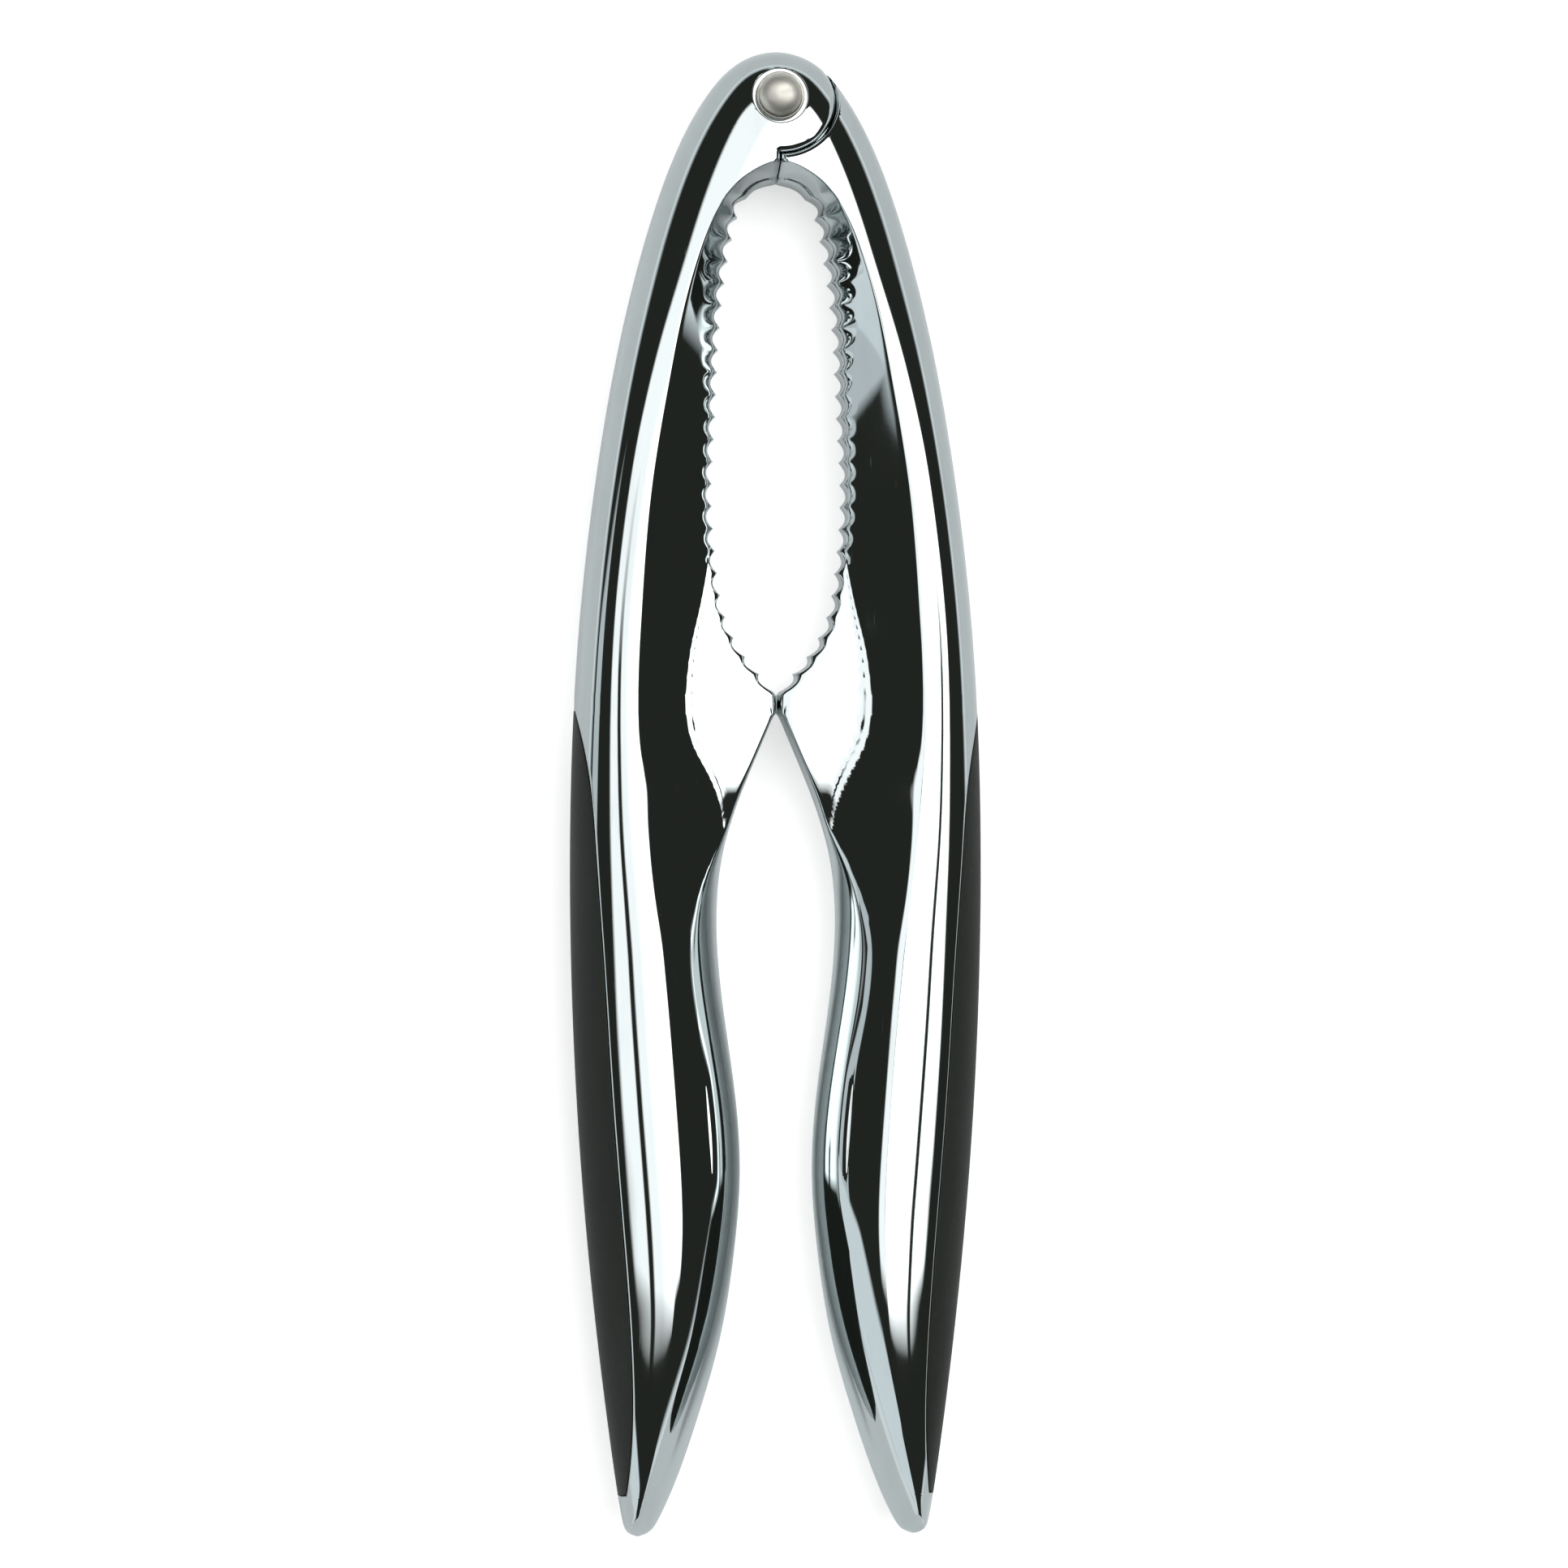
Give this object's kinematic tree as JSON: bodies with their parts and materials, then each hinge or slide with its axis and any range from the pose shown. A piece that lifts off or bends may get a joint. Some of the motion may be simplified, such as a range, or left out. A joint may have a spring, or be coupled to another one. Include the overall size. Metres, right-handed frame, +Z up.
{
  "type": "nutcracker",
  "caption": "Lever nutcracker with a serrated oval jaw opening, lap-jointed chrome-plated cast levers on a domed rivet and soft grip insets.",
  "frame": {"origin": "bottom centre of the bounding box, on the surface the tool lies on, with the handles closed", "axes": "+Y along the tool from the handle tips to the pivot, +X to the right lever, +Z up through the thickness, along the pivot axis"},
  "size_m": [0.0514, 0.1849, 0.0151],
  "materials": {
    "chrome_lever": "polished",
    "soft_grip": "matte",
    "rivet_metal": "satin"
  },
  "bodies": {
    "left_half": {"left_lever": "chrome_lever", "left_grip": "soft_grip", "pivot_post": "rivet_metal", "pivot_socket": "rivet_metal"},
    "right_half": {"right_lever": "chrome_lever", "right_grip": "soft_grip"}
  },
  "joints": [
    {"name": "pivot", "type": "hinge", "parent": "left_half", "child": "right_half", "pos_m": [0, 0.0864, 0.0072], "axis": [0, 0, 1], "range_deg": [0, 100]}
  ]
}
